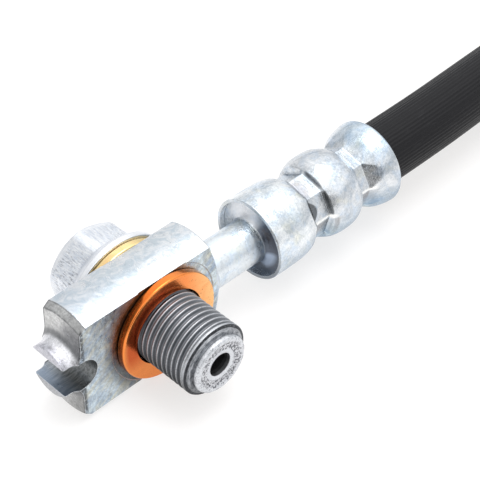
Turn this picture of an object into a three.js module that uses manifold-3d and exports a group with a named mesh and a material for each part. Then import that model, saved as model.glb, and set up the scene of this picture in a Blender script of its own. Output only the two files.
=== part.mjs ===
// Hydraulic brake hose with a banjo end and a female pipe end, in millimetres, +Z up.
//
// Construction frame: the hose axis runs along +X, the banjo bolt along Y with its tip at -Y,
// and both axes cross at the construction origin. At the end of the file everything is moved
// together so that the banjo end stands on z = 0 with its box centred over the origin.

import * as THREE from "three";
import { mergeVertices } from "three/addons/utils/BufferGeometryUtils.js";
import Module from "manifold-3d";

const wasm = await Module();
wasm.setup();

// Clearances
const faceGap = 0.05;
const looseGap = 0.3;
const mouthGap = 0.2;
const cutMargin = 2;

// Banjo bolt
const threadRadius = 5.95;
const boltReach = 10.85;
const threadEndChamfer = 0.85;
const pinLength = 1.15;
const pinRootRadius = 4.4;
const pinRadius = 4.75;
const pinLip = 0.3;
const tipDishRadius = 3.9;
const tipDishDepth = 0.3;
const boltBoreRadius = 1.95;
const boltWaistRadius = 4.6;
const boltWaistHalfLength = 2.7;
const crossHoleRadius = 1.5;
const headFlangeRadius = 9.4;
const headFlangeThickness = 1.1;
const headFlangeEdge = 0.25;
const headConeHeight = 2.5;
const headConeTopRadius = 6.64;
const headAcrossFlats = 13.3;
const headCornerRadius = 7.3;
const headHeight = 8.6;
const headTurn = THREE.MathUtils.degToRad(102.5);
const hexEndShare = 0.96;
const hexChamferSlope = 0.76;

// Copper washers
const washerOuterRadius = 9.0;
const washerThickness = 1.4;
const washerEdgeRound = 0.4;

// Banjo block: a turned bar with two milled faces, drilled across for the bolt
const barRadius = 9.65;
const blockHalfThickness = 3.95;
const spotFaceRadius = 9.94;
const spotFaceDepth = 0.12;
const blockLeft = -15.5;
const blockRight = 9.3;
const endChamferLength = 1.1;
const endChamferDepth = 0.8;
const shoulderLength = 1.7;
const neckRadius = 3.67;
const neckFillet = 0.9;

// Forked spigot that keeps the banjo from turning
const spigotLength = 2.9;
const spigotRadius = 4.25;
const spigotFillet = 1.9;
const spigotEdge = 0.25;
const slotWidth = 5.2;
const slotCentreX = -15.3;

// Crimped sleeve, measured from its open rim towards the hose
const sleeveStart = 21.3;
const sleeveLength = 27.1;
const sleeveRadius = 6.97;
const sleeveWall = 1.0;
const rimWall = 0.75;
const rimChamfer = 0.15;
const pocketDepth = 4.3;
const mouthBulgeRadius = 7.3;
const mouthEdge = 0.5;
const mouthLipLength = 1.0;
const waistRadius = 5.6;
const firstWaistAt = 11.0;
const secondWaistAt = 20.7;
const firstWaist = { at: firstWaistAt, riseBefore: 2.97, riseAfter: 2.1 };
const secondWaist = { at: secondWaistAt, riseBefore: 2.15, riseAfter: 3.08 };

// Jaws of the crimp: eight at each waist, with a flat nose between two sloping sides.
// A slope is the distance along the sleeve for each millimetre of height.
const jawCount = 8;
const jawFlatRadius = 5.12;
const firstJaw = {
  from: firstWaistAt - 1.7,
  to: firstWaistAt + 1.3,
  slopeBefore: 0.5,
  slopeAfter: 0.2,
};
const secondJaw = {
  from: secondWaistAt - 1.1,
  to: secondWaistAt + 0.7,
  slopeBefore: 0.5,
  slopeAfter: 1.5,
};
const nearJawTurn = THREE.MathUtils.degToRad(13.5);
const farJawTurn = THREE.MathUtils.degToRad(31);

// Stem inside the sleeve
const fluidRadius = 1.25;
const flareLength = 1.9;
const collarLength = 2.0;
const nippleRadius = 2.2;
const nippleTipTaper = 0.4;
const barbRadius = 2.6;
const barbCount = 4;
const barbSpacing = 4.6;
const nippleReach = 23.2;

// Hose
const hoseRadius = 5.3;
const hoseBoreRadius = 1.6;
const hoseSides = 12;
const hoseSteps = 14;

// Female end for the brake pipe
const farNeckRadius = 4.6;
const farNeckLength = 2.4;
const farHexAcrossFlats = 17;
const farHexLength = 8.0;
const farHexCornerRadius = 9.45;
const farBodyRadius = 7.6;
const farBodyLength = 8.4;
const farBodyEdge = 0.5;
const clipGrooveRadius = 6.3;
const clipGrooveStart = 3.4;
const clipGrooveWidth = 1.9;
const pipeBoreRadius = 4.55;
const pipeBoreDepth = 12;
const pipeBoreChamfer = 0.6;
const pipeSeatDepth = 2.2;

// Hose route: centre line points from the banjo sleeve's mouth to the far sleeve's mouth.
// It leaves straight, comes down on the surface, lies there and rises into the far sleeve.
const hoseRoute = [
  [0.0, 0.0, 0.0],
  [5.0, 0.0, 0.0],
  [10.0, 0.03, 0.0],
  [15.6, 0.15, -0.05],
  [22.6, 0.5, -0.2],
  [29.6, 1.0, -0.5],
  [37.6, 1.8, -1.15],
  [45.6, 2.9, -2.1],
  [53.6, 4.3, -3.05],
  [61.6, 5.9, -3.75],
  [69.6, 7.6, -4.15],
  [77.6, 9.3, -4.3],
  [85.6, 10.9, -4.3],
  [93.6, 12.3, -4.3],
  [101.6, 13.5, -4.2],
  [109.6, 14.5, -3.85],
  [117.6, 15.2, -3.2],
  [125.6, 15.7, -2.4],
  [132.6, 15.9, -1.75],
  [139.6, 16.0, -1.3],
  [145.6, 16.0, -1.15],
  [151.6, 16.0, -1.15],
];

// Fineness of the round surfaces
const turnSegments = 36;
const blockSegments = 60;
const holeSegments = 16;
const stemSegments = 20;
const sleeveSegments = 28;
const sleeveSampleStep = 1.3;
const hiddenSegments = 16;
const hiddenSampleStep = 2.4;

// Sizes that follow from the ones above
const boltHoleRadius = threadRadius + looseGap;
const seatY = blockHalfThickness - spotFaceDepth;
const frontWasherBackY = -(seatY + faceGap);
const frontWasherFaceY = frontWasherBackY - washerThickness;
const rearWasherFaceY = seatY + faceGap + washerThickness;
const headSeatY = rearWasherFaceY + faceGap;
const boltTipY = frontWasherFaceY - boltReach;
const headTopY = headSeatY + headHeight;
const spigotTipX = blockLeft - spigotLength;
const shoulderEndX = blockRight + shoulderLength;
const sleeveMouthX = sleeveStart + sleeveLength;
const pocketRadius = sleeveRadius - rimWall;
const collarRadius = pocketRadius - looseGap;
const mouthInnerRadius = hoseRadius + mouthGap;
const mouthLipStart = sleeveLength - mouthLipLength;
const nippleBoreEnd = nippleReach + looseGap;
const hoseInset = sleeveLength - nippleBoreEnd;

// Materials
const zincColor = 0xc9cdd2;
const zincPlate = new THREE.MeshStandardMaterial({ color: zincColor, metalness: 1, roughness: 0.35 });
const darkPlate = new THREE.MeshStandardMaterial({ color: 0x7c8086, metalness: 1, roughness: 0.45 });
const copper = new THREE.MeshStandardMaterial({ color: 0xd9864a, metalness: 1, roughness: 0.35 });
const rubber = new THREE.MeshStandardMaterial({ color: 0x1d1d20, metalness: 0, roughness: 0.6 });

// Closed solid from a three.js geometry whose triangles already point outwards
function solid(geometry) {
  const bare = new THREE.BufferGeometry();
  bare.setAttribute("position", geometry.getAttribute("position").clone());
  if (geometry.index) bare.setIndex(geometry.index.clone());
  const merged = mergeVertices(bare, 1e-4);
  const source = merged.index.array;
  const index = [];
  for (let i = 0; i < source.length; i += 3) {
    const [a, b, c] = [source[i], source[i + 1], source[i + 2]];
    if (a !== b && b !== c && c !== a) index.push(a, b, c);
  }
  const mesh = new wasm.Mesh({
    numProp: 3,
    vertProperties: Float32Array.from(merged.getAttribute("position").array),
    triVerts: Uint32Array.from(index),
  });
  return new wasm.Manifold(mesh);
}

// Named mesh from a closed solid
function piece(name, manifold, material) {
  const { vertProperties, triVerts } = manifold.getMesh();
  const geometry = new THREE.BufferGeometry();
  geometry.setAttribute("position", new THREE.BufferAttribute(vertProperties, 3));
  geometry.setIndex(new THREE.BufferAttribute(triVerts, 1));
  geometry.computeVertexNormals();
  const mesh = new THREE.Mesh(geometry, material);
  mesh.name = name;
  return mesh;
}

// Lays a shape made along +Y along +X instead, or along -Y
function laid(geometry, axis) {
  if (axis === "x") geometry.rotateZ(-Math.PI / 2);
  if (axis === "z") geometry.rotateX(Math.PI / 2);
  if (axis === "-y") geometry.rotateX(Math.PI);
  return geometry;
}

// Profile points [along, radius] turned about an axis. The profile runs up the outside.
function turned(profile, axis, segments = turnSegments) {
  const points = profile.map(([along, radius]) => new THREE.Vector2(radius, along));
  return solid(laid(new THREE.LatheGeometry(points, segments), axis));
}

// Straight round bar or drill between two points on an axis
function rod(axis, from, to, radius, segments = turnSegments) {
  const geometry = new THREE.CylinderGeometry(radius, radius, to - from, segments);
  geometry.translate(0, (from + to) / 2, 0);
  return solid(laid(geometry, axis));
}

// Hexagonal bar between two points on an axis, turned about it by an angle
function hexBar(axis, from, to, acrossFlats, turn) {
  const corner = acrossFlats / 2 / Math.cos(Math.PI / 6);
  const geometry = new THREE.CylinderGeometry(corner, corner, to - from, 6);
  geometry.translate(0, (from + to) / 2, 0);
  geometry.rotateY(turn);
  return solid(laid(geometry, axis));
}

function box(xRange, yRange, zRange) {
  const ranges = [xRange, yRange, zRange];
  const geometry = new THREE.BoxGeometry(...ranges.map(([low, high]) => high - low));
  geometry.translate(...ranges.map(([low, high]) => (low + high) / 2));
  return solid(geometry);
}

// Arc points [along, radius] about a centre, from one angle to another in degrees
function arc(centreAlong, centreRadius, size, fromDegrees, toDegrees, steps) {
  return samples(fromDegrees, toDegrees, Math.abs(toDegrees - fromDegrees) / steps).map((degrees) => {
    const angle = THREE.MathUtils.degToRad(degrees);
    return [centreAlong + size * Math.cos(angle), centreRadius + size * Math.sin(angle)];
  });
}

// Evenly spaced numbers from one value to another, about a step apart
function samples(from, to, step) {
  const count = Math.max(1, Math.round(Math.abs(to - from) / step));
  return Array.from({ length: count + 1 }, (_, i) => from + ((to - from) * i) / count);
}

// Sleeve's outside radius at a distance from its rim: a tube with two pinched waists
// whose sides rise as bell curves, the last one to the wider bulge at the mouth
function sleeveOutside(along) {
  const pinch = (waist, rise) => Math.exp(-(((along - waist.at) / rise) ** 2));
  if (along >= secondWaist.at) {
    const depth = mouthBulgeRadius - waistRadius;
    return mouthBulgeRadius - depth * pinch(secondWaist, secondWaist.riseAfter);
  }
  const firstRise = along < firstWaist.at ? firstWaist.riseBefore : firstWaist.riseAfter;
  const share = pinch(firstWaist, firstRise) + pinch(secondWaist, secondWaist.riseBefore);
  return sleeveRadius - (sleeveRadius - waistRadius) * share;
}

// Places and inside radii of the sleeve between its pocket and the lip at its mouth
function sleeveInside() {
  return samples(pocketDepth, mouthLipStart, hiddenSampleStep).map((along) => [
    along,
    sleeveOutside(along) - sleeveWall,
  ]);
}

// One jaw of the crimping tool: a flat-nosed bar with sloping sides, square to the axis
function jaw({ from, to, slopeBefore, slopeAfter }, angle) {
  const height = mouthBulgeRadius - jawFlatRadius + cutMargin;
  const section = new THREE.Shape([
    new THREE.Vector2(from, jawFlatRadius),
    new THREE.Vector2(to, jawFlatRadius),
    new THREE.Vector2(to + height * slopeAfter, jawFlatRadius + height),
    new THREE.Vector2(from - height * slopeBefore, jawFlatRadius + height),
  ]);
  const width = 2 * sleeveRadius;
  const geometry = new THREE.ExtrudeGeometry(section, { depth: width, bevelEnabled: false });
  geometry.translate(0, 0, -width / 2);
  geometry.rotateX(angle);
  return solid(geometry);
}

// Crimped sleeve along +X from its rim: a turned shell pressed flat by the jaws at each waist
function crimpedSleeve(jawTurn) {
  const outside = samples(rimChamfer, sleeveLength - mouthEdge, sleeveSampleStep);
  const profile = [
    [0, pocketRadius + rimChamfer],
    [0, sleeveRadius - rimChamfer],
    ...outside.map((along) => [along, sleeveOutside(along)]),
    [sleeveLength, sleeveOutside(sleeveLength) - mouthEdge],
    [sleeveLength, mouthInnerRadius],
    [mouthLipStart, mouthInnerRadius],
    ...sleeveInside().reverse(),
    [pocketDepth, pocketRadius],
    [rimChamfer, pocketRadius],
    [0, pocketRadius + rimChamfer],
  ];
  let sleeve = turned(profile, "x", sleeveSegments);
  for (const shape of [firstJaw, secondJaw]) {
    for (let i = 0; i < jawCount; i += 1) {
      sleeve = sleeve.subtract(jaw(shape, jawTurn + (i * 2 * Math.PI) / jawCount));
    }
  }
  return sleeve;
}

// Profile of the stem that the sleeve hides, from its flare to the nipple's tip
function stemInSleeve(neck) {
  const flareEnd = pocketDepth - collarLength;
  const flare = samples(0, Math.PI / 2, Math.PI / 10).map((swing) => [
    flareEnd - flareLength + flareLength * Math.sin(swing),
    neck + (collarRadius - neck) * (1 - Math.cos(swing)),
  ]);
  const barbs = [];
  for (let i = 0; i < barbCount; i += 1) {
    const from = pocketDepth + (i + 0.5) * barbSpacing;
    barbs.push([from, nippleRadius], [from, barbRadius], [from + barbSpacing / 2, nippleRadius]);
  }
  return [
    ...flare,
    [pocketDepth, collarRadius],
    [pocketDepth, nippleRadius],
    ...barbs,
    [nippleReach - nippleTipTaper, nippleRadius],
    [nippleReach, nippleRadius - nippleTipTaper],
    [nippleReach, 0],
  ];
}

// Banjo block, forked spigot, neck and hose nipple, turned from one bar and then milled
function banjoFitting() {
  const neckStart = shoulderEndX + neckFillet;
  const profile = [
    [spigotTipX, 0],
    [spigotTipX, spigotRadius - spigotEdge],
    [spigotTipX + spigotEdge, spigotRadius],
    ...arc(blockLeft - spigotFillet, spigotRadius + spigotFillet, spigotFillet, 270, 360, 6),
    [blockLeft, barRadius - endChamferDepth],
    [blockLeft + endChamferLength, barRadius],
    [blockRight, barRadius],
    ...arc(neckStart, neckRadius + neckFillet, neckFillet, 180, 270, 5),
    [sleeveStart, neckRadius],
    [sleeveStart, 0],
  ];
  const stem = stemInSleeve(neckRadius).map(([along, radius]) => [along + sleeveStart, radius]);
  const far = 2 * barRadius;
  const leftEnd = spigotTipX - cutMargin;
  const rightEnd = shoulderEndX + cutMargin;
  const slotRadius = slotWidth / 2;
  const slotEnd = rod("y", -far, far, slotRadius, holeSegments);
  return turned(profile, "x", blockSegments)
    .add(turned([[shoulderEndX, 0], [shoulderEndX, neckRadius], ...stem], "x", stemSegments))
    .subtract(box([leftEnd, rightEnd], [-far, -blockHalfThickness], [-far, far]))
    .subtract(box([leftEnd, rightEnd], [blockHalfThickness, far], [-far, far]))
    .subtract(rod("y", -far, -seatY, spotFaceRadius, blockSegments))
    .subtract(rod("y", seatY, far, spotFaceRadius, blockSegments))
    .subtract(rod("y", -far, far, boltHoleRadius))
    .subtract(slotEnd.translate([slotCentreX, 0, 0]))
    .subtract(box([leftEnd, slotCentreX], [-far, far], [-slotRadius, slotRadius]))
    .subtract(rod("x", 0, sleeveStart + nippleReach + cutMargin, fluidRadius, holeSegments));
}

// Hollow bolt along Y with the underside of its head at zero and its tip at -Y
function banjoBolt() {
  const reach = headSeatY - boltTipY;
  const threadEnd = reach - pinLength;
  const waistFrom = headSeatY - boltWaistHalfLength;
  const waistTo = headSeatY + boltWaistHalfLength;
  const coneTop = -(headFlangeThickness + headConeHeight);
  const waistStep = threadRadius - boltWaistRadius;
  const profile = [
    [coneTop, 0],
    [coneTop, headConeTopRadius],
    [-headFlangeThickness, headFlangeRadius],
    [-headFlangeEdge, headFlangeRadius],
    [0, headFlangeRadius - headFlangeEdge],
    [0, threadRadius],
    [waistFrom - waistStep, threadRadius],
    [waistFrom, boltWaistRadius],
    [waistTo, boltWaistRadius],
    [waistTo + waistStep, threadRadius],
    [threadEnd - threadEndChamfer, threadRadius],
    [threadEnd, threadRadius - threadEndChamfer],
    [threadEnd, pinRootRadius],
    [reach - pinLip, pinRadius],
    [reach, pinRadius - pinLip],
    [reach, tipDishRadius],
    [reach - tipDishDepth, tipDishRadius - tipDishDepth],
    [reach - tipDishDepth, 0],
  ];
  const bore = rod("y", -reach - cutMargin, crossHoleRadius - headSeatY, boltBoreRadius, holeSegments);
  const across = 2 * threadRadius;
  let bolt = turned(profile, "-y").add(chamferedHex("y", 0, headHeight, "far", boltHex)).subtract(bore);
  for (const axis of ["x", "z"]) {
    const hole = rod(axis, -across, across, crossHoleRadius, holeSegments);
    bolt = bolt.subtract(hole.translate([0, -headSeatY, 0]));
  }
  return bolt;
}

const boltHex = {
  acrossFlats: headAcrossFlats,
  cornerRadius: headCornerRadius,
  turn: Math.PI / 2 - headTurn,
};
const pipeHex = {
  acrossFlats: farHexAcrossFlats,
  cornerRadius: farHexCornerRadius,
  turn: Math.PI / 6,
};

// Hexagon whose corners are turned down and whose far end, or both ends, are chamfered
function chamferedHex(axis, from, to, ends, hex) {
  const endRadius = hexEndShare * (hex.acrossFlats / 2);
  const chamfer = (hex.cornerRadius - endRadius) * hexChamferSlope;
  const nearRadius = ends === "both" ? endRadius : hex.cornerRadius;
  const blank = [
    [from, 0],
    [from, nearRadius],
    [from + chamfer, hex.cornerRadius],
    [to - chamfer, hex.cornerRadius],
    [to, endRadius],
    [to, 0],
  ];
  return turned(blank, axis).intersect(hexBar(axis, from, to, hex.acrossFlats, hex.turn));
}

// Flat ring with rounded outer edges, from zero towards -Y
function copperWasher() {
  const round = washerEdgeRound;
  const rim = washerOuterRadius - round;
  const profile = [
    [0, boltHoleRadius],
    ...arc(round, rim, round, 180, 90, 2),
    ...arc(washerThickness - round, rim, round, 90, 0, 2),
    [washerThickness, boltHoleRadius],
    [0, boltHoleRadius],
  ];
  return turned(profile, "-y");
}

// Female end in the sleeve's own frame: it lies at negative distances, its mouth furthest out
function pipeFitting() {
  const hexEnd = -(farNeckLength + farHexLength);
  const mouth = hexEnd - farBodyLength;
  const groove = mouth + clipGrooveStart;
  const profile = [
    [mouth, 0],
    [mouth, farBodyRadius - farBodyEdge],
    [mouth + farBodyEdge, farBodyRadius],
    [groove, farBodyRadius],
    [groove, clipGrooveRadius],
    [groove + clipGrooveWidth, clipGrooveRadius],
    [groove + clipGrooveWidth, farBodyRadius],
    [-farNeckLength, farBodyRadius],
    [-farNeckLength, 0],
  ];
  const neckFrom = -(farNeckLength + looseGap);
  const stem = [[neckFrom, 0], [neckFrom, farNeckRadius], ...stemInSleeve(farNeckRadius)];
  const seatStart = mouth + pipeBoreDepth;
  const bore = [
    [mouth - cutMargin, 0],
    [mouth - cutMargin, pipeBoreRadius + pipeBoreChamfer + cutMargin],
    [mouth + pipeBoreChamfer, pipeBoreRadius],
    [seatStart, pipeBoreRadius],
    [seatStart + pipeSeatDepth, fluidRadius],
    [nippleReach + cutMargin, fluidRadius],
    [nippleReach + cutMargin, 0],
  ];
  return turned(profile, "x")
    .add(turned(stem, "x", stemSegments))
    .add(chamferedHex("x", hexEnd, -farNeckLength, "both", pipeHex))
    .subtract(turned(bore, "x"));
}

// End of the hose inside a sleeve, as the crimp leaves it: swollen between the waists and
// behind the lip, pinched under the waists and opened up by the nipple
function hoseEnd() {
  const seat = pocketDepth + looseGap;
  const shoulder = mouthLipStart - looseGap;
  const nippleBore = barbRadius + looseGap;
  const outside = sleeveInside().filter(([along]) => along > seat && along < shoulder);
  const first = outside[0][1] - looseGap;
  const last = outside[outside.length - 1][1] - looseGap;
  const profile = [
    [seat, nippleBore],
    [seat, first],
    ...outside.map(([along, radius]) => [along, radius - looseGap]),
    [shoulder, last],
    [shoulder, hoseBoreRadius],
    [nippleBoreEnd, hoseBoreRadius],
    [nippleBoreEnd, nippleBore],
    [seat, nippleBore],
  ];
  return turned(profile, "x", hiddenSegments);
}

function ringPoints(radius) {
  return Array.from({ length: hoseSides }, (_, i) => {
    const angle = ((i + 0.5) * 2 * Math.PI) / hoseSides;
    return new THREE.Vector2(radius * Math.cos(angle), radius * Math.sin(angle));
  });
}

// Hose from one sleeve's inside to the other's: a ring section carried along the route,
// with a formed end in each sleeve
function hose() {
  const points = hoseRoute.map((point) => new THREE.Vector3(...point));
  const last = points[points.length - 1];
  points.unshift(new THREE.Vector3(-hoseInset, 0, 0));
  points.push(last.clone().add(new THREE.Vector3(hoseInset, 0, 0)));
  const section = new THREE.Shape(ringPoints(hoseRadius));
  section.holes.push(new THREE.Path(ringPoints(hoseBoreRadius)));
  const tube = new THREE.ExtrudeGeometry(section, {
    steps: hoseSteps,
    extrudePath: new THREE.CatmullRomCurve3(points),
  });
  const nearEnd = hoseEnd().translate([-sleeveLength, 0, 0]);
  const farEnd = hoseEnd()
    .rotate([0, 0, 180])
    .translate([last.x + sleeveLength, last.y, last.z]);
  return solid(tube).add(nearEnd).add(farEnd);
}

const banjoEnd = new THREE.Group();
banjoEnd.add(piece("banjo_fitting", banjoFitting(), zincPlate));

const bolt = piece("banjo_bolt", banjoBolt(), darkPlate);
bolt.position.y = headSeatY;
banjoEnd.add(bolt);

const frontWasher = piece("front_copper_washer", copperWasher(), copper);
frontWasher.position.y = frontWasherBackY;
banjoEnd.add(frontWasher);

const rearWasher = piece("rear_copper_washer", copperWasher(), copper);
rearWasher.position.y = rearWasherFaceY;
banjoEnd.add(rearWasher);

const banjoSleeve = piece("banjo_sleeve", crimpedSleeve(nearJawTurn), zincPlate);
banjoSleeve.position.x = sleeveStart;
banjoEnd.add(banjoSleeve);

const hoseRun = new THREE.Group();
hoseRun.position.x = sleeveMouthX;
hoseRun.add(piece("hose", hose(), rubber));

const pipeEnd = new THREE.Group();
pipeEnd.position.fromArray(hoseRoute[hoseRoute.length - 1]);
pipeEnd.position.x += sleeveLength;
pipeEnd.rotation.z = Math.PI;
pipeEnd.add(piece("pipe_sleeve", crimpedSleeve(farJawTurn), zincPlate));
pipeEnd.add(piece("pipe_fitting", pipeFitting(), zincPlate));
hoseRun.add(pipeEnd);

const brakeHose = new THREE.Group();
brakeHose.add(banjoEnd, hoseRun);
brakeHose.position.set(-(spigotTipX + sleeveMouthX) / 2, -(boltTipY + headTopY) / 2, barRadius);

export default brakeHose;
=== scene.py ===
"""Brake hose with a banjo end: finished surfaces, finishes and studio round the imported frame.

Shapes are worked out in millimetres from the point where the hose axis meets the bolt axis:
+X runs along the hose, -Y along the bolt to its tip and +Z up. placed() moves them into the
shared frame, in metres.
"""

import math

import bpy
import numpy as np
from mathutils import Matrix


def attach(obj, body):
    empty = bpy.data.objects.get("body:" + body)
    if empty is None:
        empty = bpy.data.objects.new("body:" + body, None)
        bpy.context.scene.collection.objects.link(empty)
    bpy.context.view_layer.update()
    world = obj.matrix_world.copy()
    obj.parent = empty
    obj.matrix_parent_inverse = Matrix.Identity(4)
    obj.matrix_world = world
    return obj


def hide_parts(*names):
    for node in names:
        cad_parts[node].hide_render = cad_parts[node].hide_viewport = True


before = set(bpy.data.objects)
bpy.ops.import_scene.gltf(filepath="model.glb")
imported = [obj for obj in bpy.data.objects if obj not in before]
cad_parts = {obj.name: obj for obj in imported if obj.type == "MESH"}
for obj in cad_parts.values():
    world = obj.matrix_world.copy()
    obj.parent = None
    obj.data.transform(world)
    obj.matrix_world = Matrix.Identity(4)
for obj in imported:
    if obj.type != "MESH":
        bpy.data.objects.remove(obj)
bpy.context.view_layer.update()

MM = 0.001
CROSSING = np.array([-15.0, 1.10, 9.65])

# Banjo block and spigot
BAR_RADIUS = 9.65
HALF_THICKNESS = 3.95
SPOT_RADIUS = 9.94
SPOT_DEPTH = 0.12
BLOCK_LEFT = -15.5
CHAMFER_LENGTH = 1.1
CHAMFER_DEPTH = 0.8
FACE_LEFT = BLOCK_LEFT + CHAMFER_LENGTH
BLOCK_RIGHT = 9.3
SHOULDER_END = 11.0
NECK_RADIUS = 3.67
NECK_FILLET = 0.9
SPIGOT_TIP = -18.4
SPIGOT_RADIUS = 4.25
SPIGOT_FILLET = 1.9
HALF_SLOT = 2.6
SLOT_CENTRE = -15.3
BOLT_HOLE_RADIUS = 6.25
CUTTER_REACH = 30.0
BANJO_SHARP_ANGLE = 28

# Washers
WASHER_RADIUS = 9.0
WASHER_THICKNESS = 1.4
FRONT_WASHER_BACK = -3.88
REAR_WASHER_FACE = 5.28

# Bolt, along Y
HEAD_SEAT = 5.33
HEAD_TOP = 13.93
HEAD_DISH_DEPTH = 0.25
FLANGE_RADIUS = 9.4
FLANGE_TOP = 6.43
CONE_TOP = 8.93
CONE_TOP_RADIUS = 6.64
HEX_ACROSS_FLATS = 13.3
HEX_CORNER_RADIUS = 7.3
HEX_TURN = math.radians(102.5)
HEX_END_SHARE = 0.96
HEX_CHAMFER_SLOPE = 0.76
THREAD_RADIUS = 5.95
THREAD_DEPTH = 0.46
THREAD_PITCH = 1.0
THREAD_END = -14.98
RUN_OUT_END = THREAD_END + 0.44
BOLT_TIP = -16.13
PIN_RADIUS = 4.55
BOLT_BORE_RADIUS = 1.95
BOLT_BORE_END = 1.5
HALF_WAIST = 2.7
BOLT_WAIST_RADIUS = 4.6
WAIST_END = HALF_WAIST + THREAD_RADIUS - BOLT_WAIST_RADIUS
CROSS_HOLE_RADIUS = 1.5
BOLT_SHARP_ANGLE = 60

# Crimped sleeve, from its open rim
SLEEVE_START = 21.3
SLEEVE_LENGTH = 27.1
SLEEVE_RADIUS = 6.97
SLEEVE_WALL = 1.0
RIM_LENGTH = 0.3
POCKET_RADIUS = 6.40
POCKET_DEPTH = 4.3
MOUTH_BULGE_RADIUS = 7.3
MOUTH_INNER_RADIUS = 5.5
MOUTH_ROUNDING = 0.8
LIP_LENGTH = 1.0
WAIST_RADIUS = 5.6
FIRST_WAIST = (11.0, 2.97, 2.1)
SECOND_WAIST = (20.7, 2.15, 3.08)

# Jaws: start and end of the flat nose, then the slopes before and after it
JAWS = ((9.3, 12.3, 0.9, 0.2), (19.6, 21.4, 0.6, 1.5))
JAW_FLAT_RADIUS = 5.12
NEAR_JAW_TURN = math.radians(13.5)
FAR_JAW_TURN = math.radians(31)

# Stem in the sleeve
FLUID_RADIUS = 1.25
COLLAR_RADIUS = 6.38
FLARE_START = -0.4
FLARE_LENGTH = 1.4
NIPPLE_RADIUS = 2.2
NIPPLE_REACH = 23.2
BARB_RADIUS = 2.6
BARB_COUNT = 4
BARB_PITCH = 4.6
BARB_LENGTH = 2.3

# Pipe end, from the far sleeve's rim
PIPE_MOUTH = -18.8
PIPE_BODY_RADIUS = 7.6
PIPE_BORE_RADIUS = 4.55
PIPE_GROOVE = (3.4, 5.3)
PIPE_GROOVE_RADIUS = 6.3
PIPE_HEX = (-10.4, -2.4)
PIPE_HEX_ACROSS_FLATS = 17.0
PIPE_HEX_CORNER_RADIUS = 9.45
PIPE_HEX_END_RADIUS = 8.16
PIPE_NECK_RADIUS = 4.6

# Hose
HOSE_RADIUS = 5.3
HOSE_BORE_RADIUS = 1.6
HOSE_RIBS = 54
HOSE_RIB_HEIGHT = 0.035
HOSE_CLEARANCE = 0.3

# Columns round each piece
SLEEVE_COLUMNS = 288
BANJO_COLUMNS = 256
BOLT_COLUMNS = 200
PIPE_COLUMNS = 200
WASHER_COLUMNS = 160
HOSE_COLUMNS = 6 * HOSE_RIBS

# Centre line of the hose between the two sleeve mouths, from the first mouth
ROUTE = np.array([
    [0.0, 0.0, 0.0],
    [5.0, 0.0, 0.0],
    [10.0, 0.03, 0.0],
    [15.6, 0.15, -0.05],
    [22.6, 0.5, -0.2],
    [29.6, 1.0, -0.5],
    [37.6, 1.8, -1.15],
    [45.6, 2.9, -2.1],
    [53.6, 4.3, -3.05],
    [61.6, 5.9, -3.75],
    [69.6, 7.6, -4.15],
    [77.6, 9.3, -4.3],
    [85.6, 10.9, -4.3],
    [93.6, 12.3, -4.3],
    [101.6, 13.5, -4.2],
    [109.6, 14.5, -3.85],
    [117.6, 15.2, -3.2],
    [125.6, 15.7, -2.4],
    [132.6, 15.9, -1.75],
    [139.6, 16.0, -1.3],
    [145.6, 16.0, -1.15],
    [151.6, 16.0, -1.15],
])
MOUTH = np.array([SLEEVE_START + SLEEVE_LENGTH, 0.0, 0.0])
FAR_RIM = MOUTH + ROUTE[-1] + np.array([SLEEVE_LENGTH, 0.0, 0.0])

# Studio
FLOOR_HALF_WIDTH = 2.5
FLOOR_LIFT = 0.645
TENT_LEVEL = 1.30
CAMERA_SIDE = (-0.54, -0.83, 0.14)
BACK_LEFT = (-0.5, 0.7, 0.5)


def placed(points):
    """Millimetres from the axes' crossing to metres in the shared frame."""
    return (np.asarray(points, float) + CROSSING) * MM


def look(location, right, up, back):
    """Camera at a place, with the directions of its right, up and back."""
    data = bpy.data.cameras.new("photo_camera")
    data.lens = 127.5
    data.sensor_width = 36.0
    data.clip_start = 0.01
    camera = bpy.data.objects.new("photo_camera", data)
    bpy.context.scene.collection.objects.link(camera)
    rotation = Matrix((right, up, back)).transposed().to_4x4()
    camera.matrix_world = Matrix.Translation(location) @ rotation
    bpy.context.scene.camera = camera


look(
    (-0.1297, -0.1340, 0.18605),
    (0.71401, -0.70011, 0.00662),
    (0.47074, 0.48704, 0.73566),
    (-0.51827, -0.52215, 0.67731),
)


# Shapes

def rounded(corners, steps=4):
    """Profile with rounded corners. Each corner is (along, radius, rounding). A rounding cuts the
    corner back by that much on both sides and joins the two ends with a quadratic curve whose
    control point is the corner. A close point beyond each end keeps the straight side flat."""
    hold = 0.06
    places = np.array([corner[:2] for corner in corners], float)
    share = np.linspace(0, 1, steps + 1)[:, None]
    line = [places[0]]
    for i in range(1, len(corners) - 1):
        here = places[i]
        back, ahead = places[i - 1] - here, places[i + 1] - here
        room = 0.48 * min(np.linalg.norm(back), np.linalg.norm(ahead))
        cut = min(corners[i][2], room)
        if cut <= 0:
            line.append(here)
            continue
        back, ahead = back / np.linalg.norm(back), ahead / np.linalg.norm(ahead)
        start, end = here + back * cut, here + ahead * cut
        if cut + hold < room:
            line.append(start + back * hold)
        line.extend((1 - share) ** 2 * start + 2 * share * (1 - share) * here + share**2 * end)
        if cut + hold < room:
            line.append(end + ahead * hold)
    line.append(places[-1])
    return np.array(line)


def finer(profile, step):
    """The same profile with points added so that none are further apart than a step."""
    lengths = np.linalg.norm(np.diff(profile, axis=0), axis=1)
    counts = np.maximum(1, np.ceil(lengths / step)).astype(int)
    parts = [
        a + (b - a) * np.linspace(0, 1, n, endpoint=False)[:, None]
        for a, b, n in zip(profile[:-1], profile[1:], counts)
    ]
    return np.vstack(parts + [profile[-1:]])


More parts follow.
